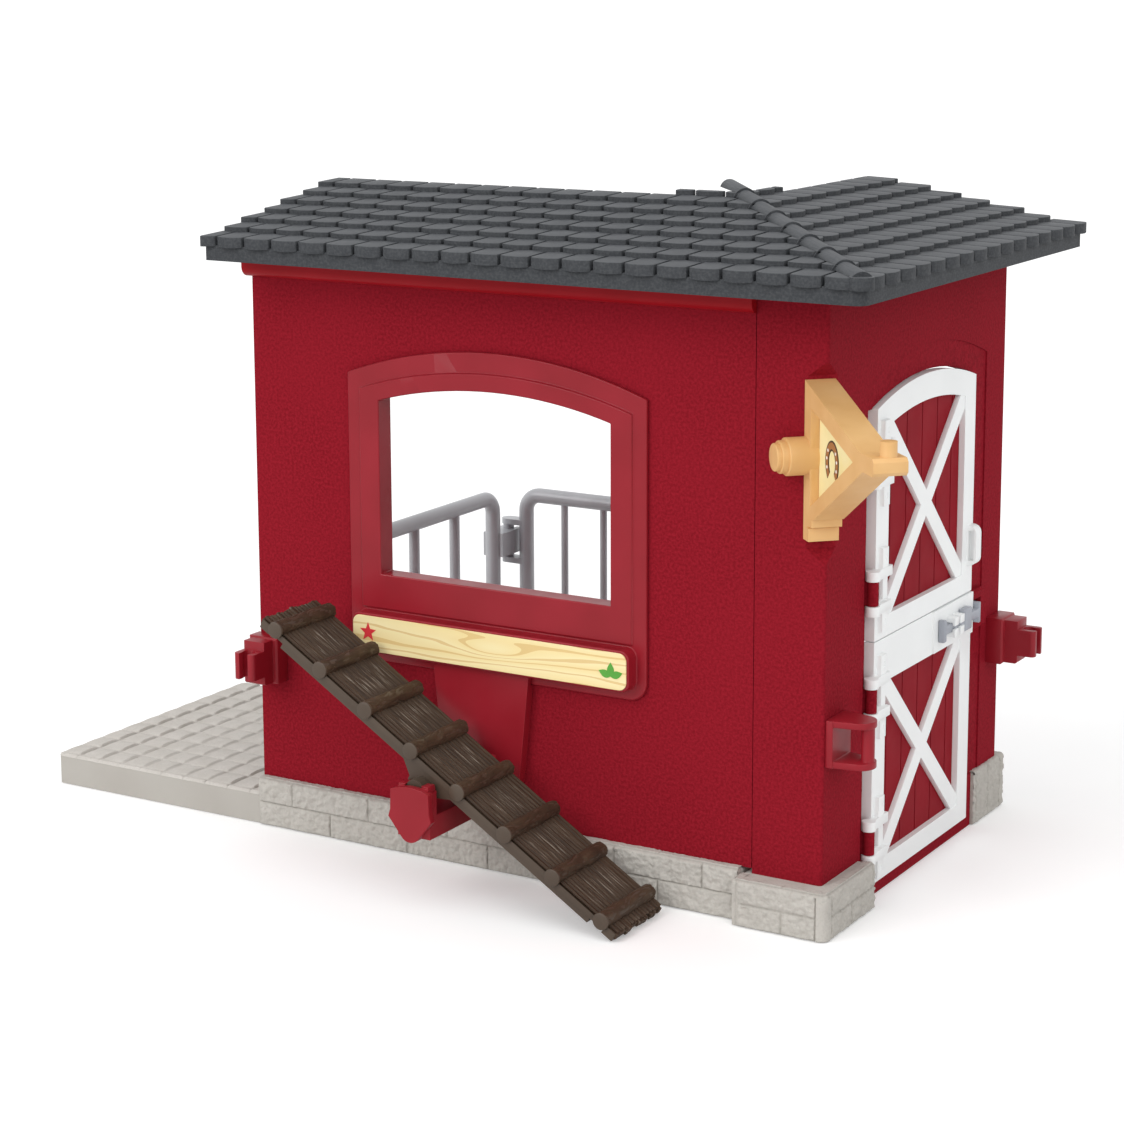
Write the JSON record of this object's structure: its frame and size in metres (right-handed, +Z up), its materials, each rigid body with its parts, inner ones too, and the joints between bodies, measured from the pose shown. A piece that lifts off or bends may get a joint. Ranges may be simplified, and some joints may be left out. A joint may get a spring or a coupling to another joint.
{
  "type": "toy barn",
  "caption": "Toy barn corner with a grey half-hipped roof, two-leaf stable door with a bolt, barred window, see-saw ramp and clip-on fences.",
  "frame": {"origin": "on the ground, directly below the outer corner where the window wall and the door wall meet", "axes": "+X out of the door wall, -Y out of the window wall, +Y along the door wall away from the corner, +Z up"},
  "size_m": [0.2827, 0.1679, 0.183],
  "materials": {
    "red_textured": "moulded dark red with a fine grain",
    "red_smooth": "smooth dark red, satin",
    "stone_grey": "rough light grey stone relief",
    "paving_grey": "rough pale grey paving relief",
    "roof_grey": "satin slate grey",
    "bark_brown": "matte dark brown with bark grain",
    "tan_plastic": "satin tan",
    "wood_label": "printed pale wood grain",
    "picture_yellow": "printed pale yellow",
    "door_white": "satin white",
    "bolt_grey": "satin light grey",
    "fence_silver": "silver-coloured plastic"
  },
  "bodies": {
    "barn": {"front_wall": "red_textured", "door_wall": "red_textured", "front_plinth": "stone_grey", "corner_plinth": "stone_grey", "rear_plinth": "stone_grey", "yard_plate": "paving_grey", "window_frame": "red_smooth", "board_label": "wood_label", "ramp_cradle": "red_smooth", "left_clip": "red_smooth", "rear_clip": "red_smooth", "column_loop": "red_smooth", "stall_loop": "red_smooth", "roof_shell": "roof_grey", "front_tiles": "roof_grey", "side_tiles": "roof_grey", "hip_caps": "roof_grey", "tack_bracket": "tan_plastic", "bracket_picture": "picture_yellow"},
    "upper_door": {"upper_door_frame": "door_white", "upper_door_panel": "red_smooth"},
    "lower_door": {"lower_door_frame": "door_white", "lower_door_panel": "red_smooth"},
    "bolt": {"door_bolt": "bolt_grey"},
    "ramp": {"seesaw_ramp": "bark_brown"},
    "fence": {"rear_fence": "fence_silver"},
    "gate": {"side_gate": "fence_silver"}
  },
  "joints": [
    {"name": "upper_door_hinge", "type": "hinge", "parent": "barn", "child": "upper_door", "pos_m": [0.0013, 0.0255, 0.099], "axis": [0, 0, -1], "range_deg": [0, 110]},
    {"name": "lower_door_hinge", "type": "hinge", "parent": "barn", "child": "lower_door", "pos_m": [0.0013, 0.0255, 0.0354], "axis": [0, 0, -1], "range_deg": [0, 110]},
    {"name": "bolt_slide", "type": "slide", "parent": "lower_door", "child": "bolt", "axis": [0, 1, 0], "range_m": [0, 0.0036]},
    {"name": "ramp_pivot", "type": "hinge", "parent": "barn", "child": "ramp", "pos_m": [-0.099, -0.0192, 0.031], "axis": [0, -1, 0], "range_deg": [0, 63]},
    {"name": "fence_swing", "type": "hinge", "parent": "barn", "child": "fence", "pos_m": [-0.0108, 0.1106, 0.062], "axis": [0, 0, -1], "range_deg": [0, 90]},
    {"name": "gate_swing", "type": "hinge", "parent": "fence", "child": "gate", "pos_m": [-0.161, 0.1106, 0.062], "axis": [0, 0, -1], "range_deg": [-20, 85]}
  ]
}
